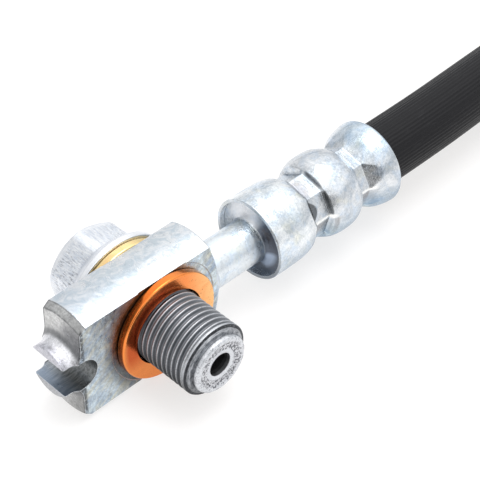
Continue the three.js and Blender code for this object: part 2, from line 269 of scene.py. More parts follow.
def arc(centre, size, start, end, steps):
    """Points on a circle about (along, radius), between two angles in degrees."""
    angles = np.radians(np.linspace(start, end, steps + 1))
    return np.column_stack([centre[0] + size * np.cos(angles), centre[1] + size * np.sin(angles)])


def round_x(along, radius, angle):
    """Rings about the X axis. Angles run from +Y to +Z."""
    return np.stack(np.broadcast_arrays(along, radius * np.cos(angle), radius * np.sin(angle)), -1)


def round_y(along, radius, angle):
    """Rings about the Y axis. Angles run from +X to +Z."""
    return np.stack(np.broadcast_arrays(radius * np.cos(angle), along, radius * np.sin(angle)), -1)


def round_z(along, radius, angle):
    """Rings about the Z axis. Angles run from +Y to +X."""
    return round_x(along, radius, angle)[..., ::-1]


def turned(axis, profile, angle):
    """Rings about an axis from a profile of (along, radius)."""
    return axis(profile[:, :1], profile[:, 1:], angle)


def around(columns):
    """Evenly spaced angles once round, as a row."""
    return np.linspace(0, 2 * np.pi, columns, endpoint=False)[None, :]


def soft_min(a, b, width):
    """The lower of two, blended by a parabola where they are less than a width apart."""
    near = np.maximum(width - np.abs(a - b), 0)
    return np.minimum(a, b) - near**2 / (4 * width)


def smooth(edge0, edge1, x):
    """0 before the first edge, 1 after the second and a smooth S between."""
    t = np.clip((x - edge0) / (edge1 - edge0), 0, 1)
    return t * t * (3 - 2 * t)


def ripple(angle, along, waves, seed):
    """Sum of sine waves over a surface, each (cycles round, cycles along, height), for the small
    unevenness of pressed and forged metal. Phases come from the seed."""
    phases = np.random.default_rng(seed).uniform(0, 2 * np.pi, len(waves))
    total = 0.0
    for (turns, lengths, height), phase in zip(waves, phases):
        total = total + height * np.sin(turns * angle + 2 * np.pi * lengths * along + phase)
    return total


def shell(name, rings, wrap=False):
    """Closed mesh over a grid of rings, row by row. Neighbouring rings are joined by quads. Without
    wrap, the first and the last ring are closed by a fan to their middle. The faces are turned
    outwards by the sign of the volume, the sum of the faces' tetrahedra. The surface map holds the
    share of a turn and the length along the first column."""
    rings = np.asarray(rings, float)
    rows, columns = rings.shape[:2]
    points = rings.reshape(-1, 3)
    index = np.arange(rows * columns).reshape(rows, columns)
    steps = rows if wrap else rows - 1
    low, high = index[:steps], np.roll(index, -1, axis=0)[:steps]
    quads = np.stack([low, np.roll(low, -1, axis=1), np.roll(high, -1, axis=1), high], -1)
    quads = quads.reshape(-1, 4)

    turn = np.arange(columns) / columns + np.zeros((steps, 1))
    length = np.concatenate([[0], np.cumsum(np.linalg.norm(np.diff(rings[:, 0], axis=0), axis=1))])
    rise = np.append(length, length[-1] + 1)[: steps + 1, None] + np.zeros(columns)
    sides = [(turn, rise[:-1]), (turn + 1 / columns, rise[:-1]),
             (turn + 1 / columns, rise[1:]), (turn, rise[1:])]
    uvs = np.stack([np.stack(side, -1) for side in sides], axis=2).reshape(-1, 4, 2)

    fans = np.zeros((0, 3), int)
    if not wrap:
        middle = np.full(columns, len(points))
        fans = np.vstack([
            np.column_stack([middle, np.roll(index[0], -1), index[0]]),
            np.column_stack([middle + 1, index[-1], np.roll(index[-1], -1)]),
        ])
        points = np.vstack([points, rings[0].mean(0), rings[-1].mean(0)])
    triangles = np.vstack([quads[:, :3], quads[:, [0, 2, 3]], fans])
    a, b, c = (points[triangles[:, i]] for i in range(3))
    if (np.cross(a, b) * c).sum() < 0:
        quads, uvs, fans = quads[:, ::-1], uvs[:, ::-1], fans[:, ::-1]
    return mesh_object(name, points, quads, fans, uvs)


def mesh_object(name, points, quads, fans, uvs):
    """Smooth mesh from four-sided and three-sided faces, with its place in its mesh."""
    mesh = bpy.data.meshes.new(name)
    corners = np.concatenate([quads.ravel(), fans.ravel()]).astype(np.int32)
    sizes = np.repeat([4, 3], [len(quads), len(fans)])
    mesh.vertices.add(len(points))
    mesh.loops.add(len(corners))
    mesh.polygons.add(len(sizes))
    mesh.vertices.foreach_set("co", placed(points).astype(np.float32).ravel())
    mesh.loops.foreach_set("vertex_index", corners)
    mesh.polygons.foreach_set("loop_start", (np.cumsum(sizes) - sizes).astype(np.int32))
    mesh.update(calc_edges=True)
    mesh.validate()
    surface = np.zeros((len(corners), 2), np.float32)
    surface[: quads.size] = uvs.reshape(-1, 2)
    mesh.uv_layers.new(name="surface").data.foreach_set("uv", surface.ravel())
    mesh.shade_smooth()
    made = bpy.data.objects.new(name, mesh)
    bpy.context.scene.collection.objects.link(made)
    return made


def rod(name, axis, low, high, radius, columns):
    """Round bar about an axis, closed by a fan on each end."""
    return shell(name, axis(np.array([[low], [high]]), radius, around(columns)))


def prism(name, outline, low, high):
    """Bar along Y with an outline of (x, z) points, closed by a fan on each end."""
    outline = np.asarray(outline, float)
    return shell(name, np.stack([np.insert(outline, 1, y, axis=1) for y in (low, high)]))


def cut_away(target, cutters, sharp):
    """Takes the cutters out of the target, one after the other, and drops them. Edges past the
    sharp angle stay sharp."""
    for cutter in cutters:
        step = target.modifiers.new("cut", "BOOLEAN")
        step.operation = "DIFFERENCE"
        step.solver = "EXACT"
        step.object = cutter
    depsgraph = bpy.context.evaluated_depsgraph_get()
    mesh = bpy.data.meshes.new_from_object(target.evaluated_get(depsgraph))
    mesh.name = target.name
    target.modifiers.clear()
    target.data = mesh
    for cutter in cutters:
        bpy.data.objects.remove(cutter)
    mesh.shade_smooth()
    mesh.set_sharp_from_angle(angle=math.radians(sharp))
    return target


def finished(piece, finish, node):
    """Gives a piece its finish and body, and hides the CAD node that it stands for."""
    piece.data.materials.clear()
    piece.data.materials.append(finish)
    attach(piece, "root")
    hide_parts(node)
    return piece


# Finishes

class Nodes:
    """Shader nodes of one tree. A call adds a node and gives back the socket that comes out."""

    def __init__(self, tree):
        self.tree = tree

    def fill(self, node, inputs):
        for key, value in inputs.items():
            if isinstance(value, bpy.types.NodeSocket):
                self.tree.links.new(value, node.inputs[key])
            else:
                node.inputs[key].default_value = value

    def node(self, kind, inputs=None, **settings):
        made = self.tree.nodes.new(kind)
        for key, value in settings.items():
            setattr(made, key, value)
        self.fill(made, inputs or {})
        return made

    def axes(self, vector):
        """The three parts of a vector, by the names X, Y and Z."""
        return self.node("ShaderNodeSeparateXYZ", {0: vector}).outputs

    def math(self, operation, a, b=0.0, c=0.0):
        return self.node("ShaderNodeMath", {0: a, 1: b, 2: c}, operation=operation).outputs[0]

    def times(self, first, *others):
        """Product of masks and numbers."""
        for other in others:
            first = self.math("MULTIPLY", first, other)
        return first

    def most(self, a, b):
        """The higher of two masks."""
        return self.math("MAXIMUM", a, b)

    def range(self, value, low, high, to_low=0.0, to_high=1.0, curve="LINEAR"):
        """Straight change from one value at low to another at high, and level beyond them."""
        inputs = {"Value": value, "From Min": low, "From Max": high}
        inputs.update({"To Min": to_low, "To Max": to_high})
        return self.node("ShaderNodeMapRange", inputs, interpolation_type=curve).outputs["Result"]

    def band(self, value, start, full, fade, end):
        """Mask that rises from start to full and falls from fade to end."""
        return self.times(self.range(value, start, full), self.range(value, end, fade))

    def line(self, value, centre, wide, narrow):
        """Mask about a centre: 1 closer than narrow and 0 further than wide."""
        away = self.math("ABSOLUTE", self.math("SUBTRACT", value, centre))
        return self.range(away, wide, narrow)


class Finish(Nodes):
    """A procedural finish. Places are in millimetres from the axes' crossing, and the colours that
    are blended are red, green and blue."""

    def __init__(self, name):
        self.material = bpy.data.materials.new(name)
        self.material.use_nodes = True
        super().__init__(self.material.node_tree)
        own = self.node("ShaderNodeTexCoord").outputs
        self.place = self.mapped(own["Object"], scale=(1000, 1000, 1000), shift=tuple(-CROSSING))
        self.facing = self.axes(own["Normal"])
        place = self.axes(self.place)
        self.x = place["X"]
        self.y = place["Y"]
        self.z = place["Z"]

    def mapped(self, vector, scale=(1, 1, 1), shift=(0, 0, 0), turn=(0, 0, 0)):
        inputs = {"Vector": vector, "Scale": scale, "Location": shift, "Rotation": turn}
        return self.node("ShaderNodeMapping", inputs).outputs["Vector"]

    def combined(self, x, y, z=0.0):
        return self.node("ShaderNodeCombineXYZ", {0: x, 1: y, 2: z}).outputs[0]

    def noise(self, scale, detail, roughness, stretch=(1, 1, 1), vector=None, warp=0.0):
        vector = self.mapped(self.place if vector is None else vector, scale=stretch)
        inputs = {"Vector": vector, "Scale": scale, "Detail": detail, "Roughness": roughness}
        inputs["Distortion"] = warp
        return self.node("ShaderNodeTexNoise", inputs).outputs["Fac"]

    def blend(self, share, a, b, kind="MIX"):
        a, b = ((*part, 1.0) if isinstance(part, tuple) else part for part in (a, b))
        made = self.node("ShaderNodeMix", {0: share, 6: a, 7: b}, data_type="RGBA", blend_type=kind)
        return made.outputs[2]

    def tint(self, share, color, tone):
        """A colour multiplied by a tone or a mask."""
        return self.blend(share, color, tone, "MULTIPLY")

    def radius(self, axis):
        """Distance from the X or the Y axis."""
        scale = (0, 1, 1) if axis == "x" else (1, 0, 1)
        flat = self.mapped(self.place, scale=scale)
        return self.node("ShaderNodeVectorMath", {0: flat}, operation="LENGTH").outputs["Value"]

    def angle(self):
        """Degrees round the hose axis, from +Y to +Z."""
        return self.math("DEGREES", self.math("ARCTAN2", self.z, self.y))

    def bump(self, height, distance, strength, normal=None):
        inputs = {"Height": height, "Distance": distance * MM, "Strength": strength}
        if normal is not None:
            inputs["Normal"] = normal
        return self.node("ShaderNodeBump", inputs).outputs["Normal"]

    def edge_round(self, radius):
        """Normal of edges rounded by a small radius."""
        return self.node("ShaderNodeBevel", {"Radius": radius * MM}, samples=6).outputs["Normal"]

    def edge_wear(self, radius):
        """1 on sharp edges and 0 on the surfaces beside them."""
        plain = self.node("ShaderNodeNewGeometry").outputs["Normal"]
        inputs = {0: self.edge_round(radius), 1: plain}
        facing = self.node("ShaderNodeVectorMath", inputs, operation="DOT_PRODUCT").outputs["Value"]
        return self.range(facing, 0.995, 0.9)

    def set(self, **inputs):
        names = {
            "color": "Base Color", "metallic": "Metallic", "roughness": "Roughness", "normal": "Normal",
            "specular": "Specular IOR Level", "glow": "Emission Color",
            "glow_strength": "Emission Strength",
        }
        shader = self.tree.nodes["Principled BSDF"]
        self.fill(shader, {names[key]: value for key, value in inputs.items()})
        return self.material


def zinc_clouds(made, light, dark):
    """Colour of the plate, with blue and a little yellow in it, and the clouds that it follows."""
    clouds = made.noise(0.30, 4, 0.6, warp=0.7)
    speckle = made.noise(2.6, 4, 0.65)
    patches = made.range(made.math("MULTIPLY_ADD", speckle, 0.6, clouds), 0.63, 0.97)
    color = made.blend(patches, dark, light)
    blue = made.range(made.noise(0.42, 3, 0.55, warp=1.0), 0.46, 0.66)
    color = made.tint(made.times(blue, 0.75), color, (0.86, 0.95, 1.06))
    elsewhere = made.mapped(made.place, shift=(40, 7, 3))
    yellow = made.range(made.noise(0.36, 3, 0.55, vector=elsewhere), 0.56, 0.74)
    color = made.tint(made.times(yellow, 0.7), color, (1.04, 1.0, 0.86))
    return color, clouds


def zinc_surface(made, color, clouds, smoothest, roughest, edge):
    """Marks, worn edges, roughness and relief of a zinc plate over its colour."""
    marks = made.range(made.noise(1.3, 5, 0.75, warp=1.4), 0.60, 0.68)
    color = made.blend(made.times(marks, 0.5), color, (0.30, 0.33, 0.37))
    color = made.blend(made.times(made.edge_wear(1.5 * edge), 0.7), color, (0.86, 0.89, 0.92))
    fine = made.noise(8.0, 3, 0.65)
    streaks = made.range(made.noise(2.4, 4, 0.65, stretch=(2.2, 0.3, 0.3)), 0.32, 0.68)
    roughness = made.math("MULTIPLY_ADD", streaks, 0.35, clouds)
    roughness = made.range(roughness, 0.4, 1.0, smoothest, roughest)
    swell = made.math("MULTIPLY_ADD", made.noise(0.9, 2, 0.5), 3.0, fine)
    height = made.math("MULTIPLY_ADD", streaks, 0.35, swell)
    normal = made.bump(height, 0.036, 0.6, made.edge_round(edge))
    return made.set(color=color, metallic=1.0, roughness=roughness, normal=normal)


def zinc_on_sleeve():
    """Bright bluish zinc plate: soft cloudy patches, fine speckle, a faint grain left by the tool
    under the plate, small dark marks and lighter worn edges. The jaws' flats carry painted light and
    shade, painted shade makes the rim's face darker, the underside darker and bluer and the top near
    the mouth darker and bluer, and painted light makes the first bulge the brightest."""
    made = Finish("bright_zinc_sleeve")
    color, clouds = zinc_clouds(made, (0.80, 0.815, 0.83), (0.49, 0.53, 0.57))
    from_rim = made.math("SUBTRACT", made.x, SLEEVE_START)
    leaning = made.facing["X"]
    color = jaw_shading(made, color, from_rim, leaning)

    # Painted shade on the rim's face towards the stem, heaviest underneath.
    rim = made.times(made.range(from_rim, 0.30, 0.12), made.range(leaning, -0.5, -0.8))
    rim = made.times(rim, made.range(made.z, 0.0, -3.0, 0.25, 0.85))
    color = made.blend(rim, color, (0.22, 0.23, 0.25))
    # Painted shade on the underside: darker and bluer.
    low = made.times(made.range(made.z, 1.0, -3.2), made.range(from_rim, -4, 8))
    color = made.tint(low, color, (0.56, 0.68, 0.78))
    # Bluish painted shade on top near the mouth.
    high = made.times(made.range(made.z, 4.5, 6.5), made.range(from_rim, 20.5, 23))
    color = made.tint(high, color, (0.80, 0.88, 0.94))
    # Painted light: the first bulge is the brightest.
    bright = made.times(made.range(from_rim, 9, 6), made.range(made.z, -2.5, 1.5))
    color = made.tint(bright, color, (1.13, 1.14, 1.13))
    return zinc_surface(made, color, clouds, 0.17, 0.34, 0.08)


def jaw_shading(made, color, from_rim, leaning):
    """Painted light and shade on the jaws' flats: painted shade on the steep walls and in a dark lens
    beside the first waist's noses and on the noses on top, pinkish painted shade on those underneath
    and a bright painted highlight on the line where two jaws meet."""
    steep = made.math("ABSOLUTE", leaning)
    angle = made.angle()
    first = made.band(from_rim, 8.0, 8.3, 13.2, 13.6)
    second = made.band(from_rim, 18.6, 19.4, 22.2, 23.0)

    # Painted shade on the steep walls of the first waist and in a dark lens beside its noses.
    top_wall = made.times(made.band(angle, 84, 90, 125, 130), made.range(leaning, -0.62, -0.90))
    side_wall = made.times(made.band(angle, 125, 130, 166, 170), made.range(steep, 0.50, 0.72))
    off = made.math("DIVIDE", made.math("SUBTRACT", angle, 148), 17)
    bow = made.math("MULTIPLY_ADD", made.times(off, off), -1.1, 10.35)
    lens = made.range(made.math("SUBTRACT", from_rim, bow), 0.12, -0.12)
    lens = made.times(lens, made.band(angle, 128, 132, 164, 168), made.range(from_rim, 8.7, 9.0))
    slit_shade = made.most(made.times(first, made.most(top_wall, side_wall)), lens)
    color = made.blend(made.times(slit_shade, 0.88), color, (0.11, 0.115, 0.12))

    # Pinkish painted shade on the jaws' noses underneath.
    under = made.most(made.range(angle, -150, -172), made.range(angle, 172, 178))
    nose = made.times(made.most(first, second), made.range(steep, 0.6, 0.4))
    color = made.blend(made.times(under, nose, 0.8), color, (0.36, 0.335, 0.33))
    # Painted highlight: a bright thin line where two jaws meet.
    crease_highlight = made.most(made.line(angle, 171.5, 4.5, 2.0), made.line(angle, -143.5, 4.5, 2.0))
    crease_highlight = made.times(crease_highlight, made.most(made.band(from_rim, 8.6, 9.4, 12.6, 13.4), second))
    color = made.blend(crease_highlight, color, (0.95, 0.95, 0.93))

    # Painted shade on the noses on top of both waists.
    second_top_shade = made.times(made.band(angle, 76, 86, 119, 130), second)
    second_top_shade = made.times(second_top_shade, made.range(leaning, -0.5, -0.1))
    color = made.tint(second_top_shade, color, (0.74, 0.77, 0.80))
    first_top_shade = made.band(from_rim, 9.0, 9.4, 10.2, 11.4)
    first_top_shade = made.times(first_top_shade, made.band(angle, 82, 88, 120, 128))
    return made.tint(first_top_shade, color, (0.66, 0.635, 0.64))


def zinc_on_banjo():
    """Zinc plate on the banjo: bright on the turned surfaces, with painted shade in blotches on top,
    darker and duller on the milled faces, gritty grey on the end with its fork under painted light and
    shade, dark in the slot from bare cut metal and painted shade, with ragged dark edges."""
    made = Finish("bright_zinc_banjo")
    color, clouds = zinc_clouds(made, (0.72, 0.745, 0.77), (0.54, 0.57, 0.60))
    grit = made.range(made.noise(1.9, 6, 0.8), 0.36, 0.64, 0.64, 1.22)
    from_hose = made.radius("x")
    milled = made.range(made.math("ABSOLUTE", made.facing["Y"]), 0.85, 0.97)
    milled = made.times(milled, made.range(made.x, 10.9, 10.5))
    plain = made.math("SUBTRACT", 1.0, milled)

    color = made.tint(made.range(made.x, 10.8, 11.4), color, (1.17, 1.19, 1.19))
    color = block_top(made, color)
    color = made.blend(milled, color, milled_face(made, clouds, grit))
    end = made.times(made.range(made.x, FACE_LEFT + 0.04, FACE_LEFT - 0.02), plain)
    color = made.blend(end, color, fork_end(made, from_hose, clouds, grit))
    slot = made.range(made.math("ABSOLUTE", made.z), HALF_SLOT + 0.06, HALF_SLOT + 0.02)
    slot = made.times(slot, made.range(made.x, -12.4, -12.7), plain)
    color = made.blend(slot, color, slot_inside(made))
    color = made.blend(dark_edges(made, from_hose), color, (0.06, 0.063, 0.068))
    color = flare_shading(made, color, from_hose)
    return zinc_surface(made, color, clouds, 0.24, 0.42, 0.09)


def block_top(made, color):
    """Painted shade on the round top of the block: blotches, darker along its middle and to the left.
    """
    top = made.times(made.range(made.facing["Z"], 0.45, 0.7), made.range(made.x, 10.4, 9.6))
    blots = made.range(made.noise(0.55, 5, 0.66, warp=1.4), 0.42, 0.58)
    shade_blots = made.blend(blots, (0.60, 0.665, 0.71), (0.83, 0.835, 0.84))
    color = made.blend(made.times(top, 0.8), color, shade_blots)
    middle = made.band(made.y, -3.4, -2.0, 0.5, 3.0)
    color = made.tint(made.times(top, middle), color, (0.82, 0.84, 0.86))
    return made.tint(made.times(top, made.range(made.x, -5, -13)), color, (0.90, 0.915, 0.94))


def milled_face(made, clouds, grit):
    """Dull blue with pale pools and yellowish wisps, with painted shade beside the washer and a
    painted shadow in a thin line round the spot face."""
    from_bolt = made.radius("y")
    face = made.blend(made.range(clouds, 0.35, 0.65), (0.28, 0.36, 0.46), (0.47, 0.54, 0.62))
    pools = made.range(made.noise(0.24, 4, 0.55, warp=1.2), 0.46, 0.58)
    face = made.blend(made.times(pools, 0.8), face, (0.62, 0.74, 0.84))
    slanted = made.mapped(made.place, turn=(0, 0.7, 0))
    wisps = made.noise(0.55, 5, 0.65, stretch=(0.4, 1, 1.6), vector=slanted, warp=0.8)
    face = made.blend(made.times(made.range(wisps, 0.42, 0.66), 0.65), face, (0.68, 0.65, 0.50))
    # Painted shade on the face beside the washer.
    washer_shade = made.range(from_bolt, 9.6, 12.2, 0.24, 1.0)
    face = made.tint(1.0, face, made.most(washer_shade, made.range(made.x, 1.0, 5.0)))
    # Painted shadow: a thin dark line in the gap round the spot face.
    ring = made.line(from_bolt, SPOT_RADIUS, 0.12, 0.03)
    face = made.blend(made.times(ring, 0.8), face, (0.09, 0.095, 0.10))
    return made.tint(1.0, face, grit)


def fork_end(made, from_hose, clouds, grit):
    """Gritty grey end, with painted shade on the near side and at the spigot's root. The spigot is
    lighter, its painted light fading to grey towards the tip, and painted shade darkens its lower
    tooth."""
    gritty = made.blend(clouds, (0.44, 0.445, 0.45), (0.70, 0.70, 0.69))
    # Painted shade on the near side of the end.
    gritty = made.tint(1.0, gritty, made.range(made.y, 0.5, -3.0, 1.0, 0.62))
    gritty = made.tint(1.0, gritty, grit)
    # Painted shade at the spigot's root.
    root = made.range(made.x, BLOCK_LEFT + 0.05, BLOCK_LEFT - 0.1)
    root = made.times(root, made.range(from_hose, 6.4, 5.4))
    gritty = made.blend(made.times(root, 0.75), gritty, (0.14, 0.145, 0.155))
    tooth = made.times(made.range(made.x, -15.7, -16.3), made.range(from_hose, 5.1, 4.7))
    # Painted light on the spigot, fading to grey towards the tip, and painted shade on its lower tooth.
    spigot = made.blend(made.range(made.x, -16.6, -17.9), (0.86, 0.86, 0.89), (0.56, 0.56, 0.61))
    spigot = made.blend(made.range(made.z, 0, -1), spigot, (0.44, 0.45, 0.47))
    return made.blend(tooth, gritty, made.tint(1.0, spigot, grit))


def slot_inside(made):
    """Dark inside: bare cut metal with lines left by the cutter, and painted shade in the recess that
    lifts to a bluer tone towards the open end.
    """
    lines = made.range(made.noise(1.6, 4, 0.7, stretch=(0.3, 2, 2)), 0.35, 0.65)
    # Dark base of bare cut metal and painted shade in the recess.
    inside = made.blend(lines, (0.13, 0.135, 0.135), (0.34, 0.35, 0.35))
    # The painted shade lifts to a bluer tone towards the open end.
    blue = made.times(made.range(made.x, -15.2, -17.4), 0.6)
    return made.blend(blue, inside, (0.26, 0.33, 0.44))


def dark_edges(made, from_hose):
    """Mask of ragged dark lines: the fork's upright edges, both rims of the end's chamfer and the
    outline of the rear face."""
    ragged = made.range(made.noise(1.7, 4, 0.7), 0.37, 0.50)
    upright = made.times(made.range(made.x, -14.8, -15.1), made.range(made.y, -3.55, -3.75))
    upright = made.times(upright, made.range(made.math("ABSOLUTE", made.z), 2.4, 2.7))
    outer_rim = made.line(made.x, FACE_LEFT - 0.02, 0.14, 0.05)
    outer_rim = made.times(outer_rim, made.range(from_hose, 9.2, 9.4))
    inner_rim = made.line(from_hose, BAR_RADIUS - CHAMFER_DEPTH + 0.02, 0.15, 0.05)
    inner_rim = made.times(inner_rim, made.range(made.x, -15.2, -15.4))
    rims = made.times(made.most(outer_rim, inner_rim), 0.6)
    edges = made.times(made.most(upright, rims), ragged)
    outline = made.times(made.range(made.y, 3.66, 3.82), made.range(made.x, -14.2, -14.5), 0.9)
    return made.times(made.most(edges, outline), 0.85)


def flare_shading(made, color, from_hose):
    """The collar's flare: lighter all round, dark on its far side and underneath, with a bluish
    gleam low on the near side."""
    flare = made.range(from_hose, NECK_RADIUS - 0.005, NECK_RADIUS + 0.07)
    flare = made.times(flare, made.range(made.x, SLEEVE_START - 0.45, SLEEVE_START - 0.3))
    color = made.blend(made.times(flare, 0.5), color, (0.62, 0.62, 0.65))
    angle = made.angle()
    shaded = made.most(made.range(angle, 96, 122), made.range(angle, -68, -92))
    color = made.blend(made.times(shaded, flare, 0.93), color, (0.075, 0.09, 0.12))
    gleam = made.times(made.band(angle, -180, -170, -130, -118), made.range(from_hose, 5.5, 4.7))
    return made.blend(made.times(gleam, flare, 0.62), color, (0.46, 0.56, 0.72))


def zinc_on_bolt():
    """Dull grey zinc plate: painted highlights on the thin thread crests over flanks in painted shade,
    painted shade underneath, a light speckled end and a bright head with scratches along the bolt."""
    made = Finish("grey_zinc_bolt")
    radius = made.radius("y")
    clouds = made.noise(0.5, 4, 0.6, warp=0.8)
    speckle = made.noise(3.4, 5, 0.75)
    grain = made.noise(3.4, 5, 0.8, stretch=(1, 0.16, 1))
    # Painted shade underneath: darker towards the bottom, ragged by the speckle.
    underside_shade = made.math("MULTIPLY_ADD", speckle, 3.0, made.z)
    underside_shade = made.range(underside_shade, 4.2, -0.6, 1.0, 0.18)
    brushed = made.range(made.noise(1.2, 4, 0.7, stretch=(1.0, 7.0, 1.0)), 0.36, 0.62)
    brushed = made.blend(brushed, (0.16, 0.17, 0.19), (0.62, 0.64, 0.67))
    # Painted shade: the brushed metal darker towards the bottom.
    brushed = made.tint(1.0, brushed, made.range(made.z, 2.0, -3.5, 0.85, 0.38))

    pin = made.blend(underside_shade, (0.07, 0.075, 0.08), brushed)
    on_pin = made.range(made.y, THREAD_END - 0.24, THREAD_END - 0.12)
    tip = made.blend(on_pin, tip_face(made, radius, speckle), pin)
    head = bolt_head(made, radius, clouds, speckle, grain)
    color = made.blend(made.range(made.y, 0, 1), tip, head)
    on_thread = made.band(made.y, THREAD_END - 0.08, THREAD_END + 0.02, 3.6, 4.2)
    color = made.blend(on_thread, color, thread_sides(made, radius, clouds, speckle, underside_shade, brushed))
    bore = made.range(radius, BOLT_BORE_RADIUS + 0.05, BOLT_BORE_RADIUS - 0.05)
    color = made.blend(made.times(bore, made.range(made.y, 3, 2)), color, (0.30, 0.30, 0.31))

    roughness = made.math("MULTIPLY_ADD", speckle, 0.5, clouds)
    roughness = made.range(roughness, 0.4, 1.1, 0.30, 0.50)
    height = made.math("ADD", speckle, made.times(grain, 0.8))
    normal = made.bump(height, 0.06, 0.6, made.edge_round(0.06))
    return made.set(color=color, metallic=1.0, roughness=roughness, normal=normal)


def thread_sides(made, radius, clouds, speckle, underside_shade, brushed):
    """Flanks in painted shade, nicked painted highlights on the crests, painted shade below, the
    brushed run-out and painted shade in its step.
    """
    # Painted shade on the flanks and painted highlights on the crests, nicked by the speckle.
    shaded_flank = made.blend(clouds, (0.155, 0.165, 0.18), (0.235, 0.245, 0.265))
    crest = made.range(radius, THREAD_RADIUS - 0.11, THREAD_RADIUS - 0.02)
    crest = made.times(crest, made.range(speckle, 0.32, 0.52, 0.35, 1.0))
    thread = made.tint(1.0, made.blend(crest, shaded_flank, (0.62, 0.64, 0.67)), underside_shade)
    run_out = made.range(made.y, RUN_OUT_END, RUN_OUT_END - 0.06)
    thread = made.blend(run_out, thread, brushed)
    # Painted shade in the run-out's step.
    step = made.line(made.y, RUN_OUT_END, 0.13, 0.07)
    step = made.times(step, made.range(speckle, 0.30, 0.50, 0.35, 0.95))
    return made.blend(step, thread, (0.035, 0.037, 0.042))


def bolt_head(made, radius, clouds, speckle, grain):
    """Hexagon scratched along the bolt with dark nicks, and a flange streaked in rings."""
    scratched = made.range(made.math("MULTIPLY_ADD", speckle, 0.25, grain), 0.48, 0.78)
    hexagon_side = made.blend(scratched, (0.62, 0.67, 0.75), (0.97, 0.98, 0.99))
    nicks = made.range(made.noise(4.6, 5, 0.78, stretch=(1, 0.22, 1)), 0.51, 0.60)
    nicks = made.times(nicks, made.range(made.z, 6.8, 4.0, 0.25, 1.0), 0.8)
    hexagon_side = made.blend(nicks, hexagon_side, (0.26, 0.27, 0.30))
    ring_place = made.combined(made.times(radius, 3.0), made.times(made.y, 3.0), clouds)
    rings = made.range(made.noise(1.0, 4, 0.7, vector=ring_place), 0.38, 0.60)
    flange = made.blend(rings, (0.70, 0.73, 0.78), (0.90, 0.91, 0.93))
    return made.blend(made.band(made.y, 7.4, 8.6, 12.6, 13.2), flange, hexagon_side)


def tip_face(made, radius, speckle):
    """Speckled end with a bright chipped rim and a bright countersink."""
    tip = made.blend(made.range(speckle, 0.43, 0.54), (0.07, 0.073, 0.085), (0.72, 0.73, 0.76))
    chips = made.range(made.noise(2.2, 5, 0.8), 0.40, 0.52, 0.25, 1.0)
    rim = made.times(made.range(radius, 3.85, 4.1), chips)
    bright = made.times(made.most(rim, made.range(radius, 2.75, 2.6)), 0.8)
    return made.blend(bright, tip, (0.74, 0.76, 0.79))


def bright_copper():
    """Annealed copper: fine circular stamping lines, small dents and a slightly darker bloom. The
    front washer has a dark red painted reflection of the thread to the upper left and a pale painted
    highlight with brown spots on the right, and the rear one has a pale yellow painted highlight."""
    made = Finish("annealed_copper")
    radius = made.radius("y")
    clouds = made.noise(0.45, 4, 0.6, warp=1.0)
    speckle = made.noise(3.5, 3, 0.6)
    rings = made.noise(1.0, 3, 0.7, vector=made.combined(made.times(radius, 4.0), clouds))
    color = made.blend(clouds, (0.80, 0.22, 0.05), (0.96, 0.33, 0.09))
    # Painted reflection of the dark thread, dark red, on the front washer's upper left.
    thread_reflection = made.times(made.range(made.x, 2.5, -1.0), made.range(made.z, -4.5, -1.5))
    thread_reflection = made.times(thread_reflection, made.range(radius, WASHER_RADIUS - 0.2, WASHER_RADIUS - 1.0))
    color = made.blend(thread_reflection, color, (0.66, 0.115, 0.022))
    outer = made.range(radius, WASHER_RADIUS - 0.05, WASHER_RADIUS - 0.01)
    color = made.blend(made.times(outer, made.range(made.x, 2.0, -2.0)), color, (0.92, 0.22, 0.04))
    rear = made.range(made.y, 0, 1)
    # Pale painted highlight on the front washer's right part and on the rear washer.
    pale = made.most(made.range(made.x, 3.5, 8.5), rear)
    pale = made.times(pale, made.range(clouds, 0.3, 0.6, 0.6, 1.0))
    color = made.blend(pale, color, (0.95, 0.56, 0.24))
    # Pale yellow painted highlight on the rear washer.
    rear = made.times(rear, made.range(clouds, 0.3, 0.6, 0.7, 1.0))
    color = made.blend(rear, color, (0.97, 0.76, 0.38))
    spots = made.range(made.noise(2.8, 3, 0.6), 0.64, 0.68)
    spots = made.times(spots, made.range(made.x, 1.0, 3.0), 0.7)
    color = made.blend(spots, color, (0.40, 0.10, 0.03))
    bloom = made.times(made.range(speckle, 0.62, 0.74), 0.35)
    color = made.blend(bloom, color, (0.42, 0.13, 0.05))
    roughness = made.math("MULTIPLY_ADD", rings, 0.4, clouds)
    roughness = made.range(roughness, 0.4, 1.0, 0.12, 0.26)
    height = made.math("MULTIPLY_ADD", rings, 0.5, speckle)
    normal = made.bump(height, 0.025, 0.5, made.edge_round(0.08))
    return made.set(color=color, metallic=1.0, roughness=roughness, normal=normal)


def ribbed_rubber():
    """Black rubber with a satin skin, fine lines along it and dust in the grooves."""
    made = Finish("black_ribbed_rubber")
    surface = made.node("ShaderNodeUVMap", uv_map="surface").outputs["UV"]
    lines = made.noise(1.0, 4, 0.7, vector=made.mapped(surface, scale=(420, 0.05, 1)))
    marks = made.noise(1.0, 3, 0.6, vector=made.mapped(surface, scale=(110, 0.25, 1)))
    color = made.blend(lines, (0.003, 0.003, 0.004), (0.011, 0.011, 0.013))
    dusty = made.times(made.range(marks, 0.60, 0.74), 0.5)
    color = made.blend(dusty, color, (0.04, 0.04, 0.043))
    roughness = made.math("MULTIPLY_ADD", marks, 0.6, lines)
    roughness = made.range(roughness, 0.5, 1.1, 0.34, 0.58)
    height = made.math("MULTIPLY_ADD", made.noise(7.0, 3, 0.6), 0.35, lines)
    normal = made.bump(height, 0.05, 0.6)
    return made.set(color=color, metallic=0.0, roughness=roughness, normal=normal, specular=0.20)


# Pieces

